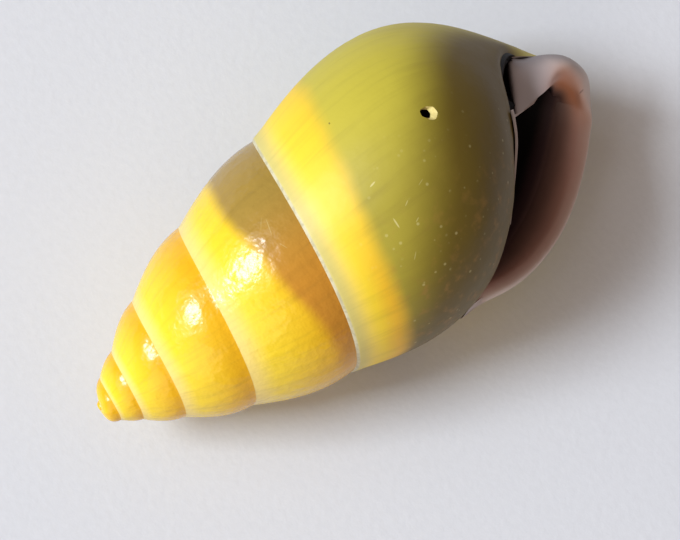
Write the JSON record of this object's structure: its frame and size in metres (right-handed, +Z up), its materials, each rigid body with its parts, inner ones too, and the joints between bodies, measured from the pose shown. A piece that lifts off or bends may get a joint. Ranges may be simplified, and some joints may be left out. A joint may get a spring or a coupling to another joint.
{
  "type": "tree snail shell",
  "caption": "Left-handed, high-spired snail shell with swollen whorls, an open ear-shaped aperture and a thickened lip, lying on its side.",
  "frame": {"origin": "centre of the shell's box in plan, at the level of the surface that it lies on", "axes": "+Z up from the surface, +X from the apex along the shell towards the aperture end, aperture facing up; +Y completes the right-handed frame"},
  "size_m": [0.0512, 0.0246, 0.0242],
  "materials": {
    "shell": "naturally glossy shell: yellow spire and shoulder band, olive-brown base, pinkish grey lip"
  },
  "bodies": {
    "root": {"shell": "shell"}
  },
  "joints": []
}
